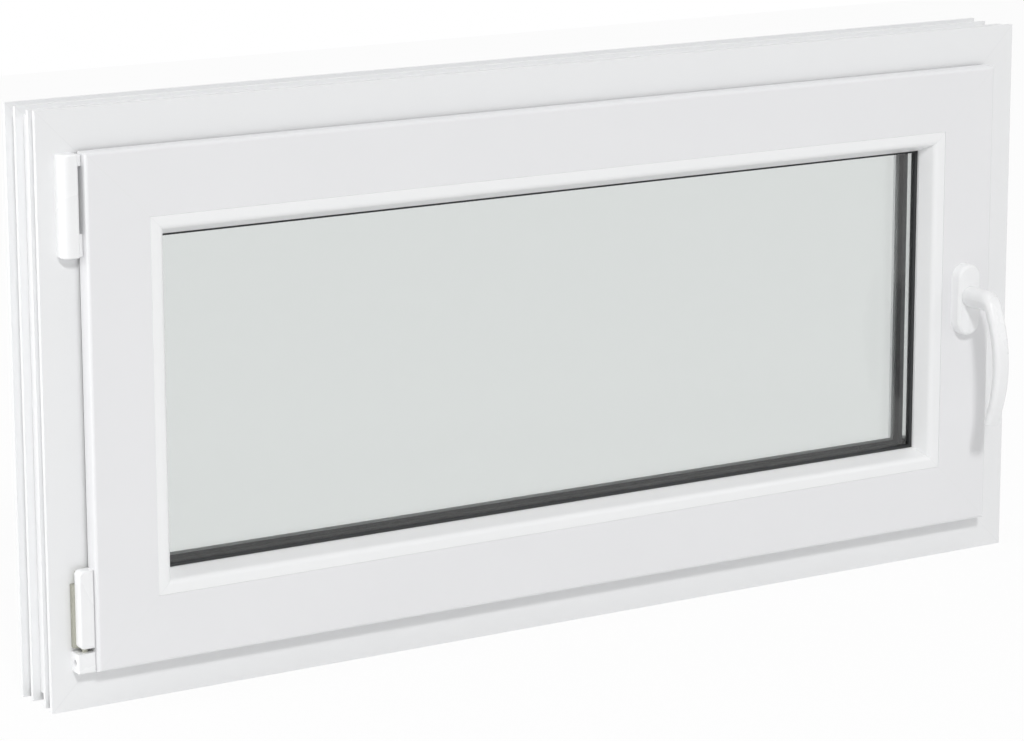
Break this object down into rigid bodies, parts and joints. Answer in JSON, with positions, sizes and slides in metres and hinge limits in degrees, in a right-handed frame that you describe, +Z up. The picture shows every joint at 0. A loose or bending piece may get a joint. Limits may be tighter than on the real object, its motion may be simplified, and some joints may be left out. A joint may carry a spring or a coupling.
{
  "type": "window",
  "caption": "White plastic tilt-and-turn basement window, wide and low, with finned frame, double glazing, corner hinges and a lever handle",
  "frame": {"origin": "middle of the underside of the sill, on the edge of the frame's room face", "axes": "X along the window's width, +X to the handle side; +Y through the frame to the weather side, the room side faces -Y; +Z up"},
  "size_m": [1, 0.1456, 0.5],
  "materials": {
    "white_pvc": "satin",
    "white_hardware": "satin",
    "gasket": "matte",
    "spacer": "matte",
    "glass": "polished",
    "steel": "zinc plated",
    "block": "matte"
  },
  "bodies": {
    "window": {"bead_bottom": "white_pvc", "bead_gasket": "gasket", "bead_left": "white_pvc", "bead_right": "white_pvc", "bead_top": "white_pvc", "corner_bearing": "white_hardware", "corner_cover": "white_hardware", "corner_hinge": "steel", "corner_pin": "steel", "drain_cap_left": "white_hardware", "drain_cap_right": "white_hardware", "edge_seal": "spacer", "frame_gasket": "gasket", "frame_head": "white_pvc", "frame_jamb_left": "white_pvc", "frame_jamb_right": "white_pvc", "frame_sill": "white_pvc", "glazing_gasket": "gasket", "handle_rosette": "white_hardware", "inner_pane": "glass", "outer_pane": "glass", "sash_bottom_rail": "white_pvc", "sash_gasket": "gasket", "sash_handle_stile": "white_pvc", "sash_hinge_stile": "white_pvc", "sash_top_rail": "white_pvc", "setting_block_left": "block", "setting_block_right": "block", "spacer": "spacer", "stay_arm": "steel", "stay_bearing": "steel", "stay_cover": "white_hardware", "stay_pin": "steel"},
    "handle": {"handle_grip": "white_hardware", "spindle": "steel"}
  },
  "joints": [
    {"name": "handle_turn", "type": "hinge", "parent": "window", "child": "handle", "pos_m": [0.4335, -0.018, 0.2535], "axis": [0, 1, 0], "range_deg": [0, 180]}
  ]
}
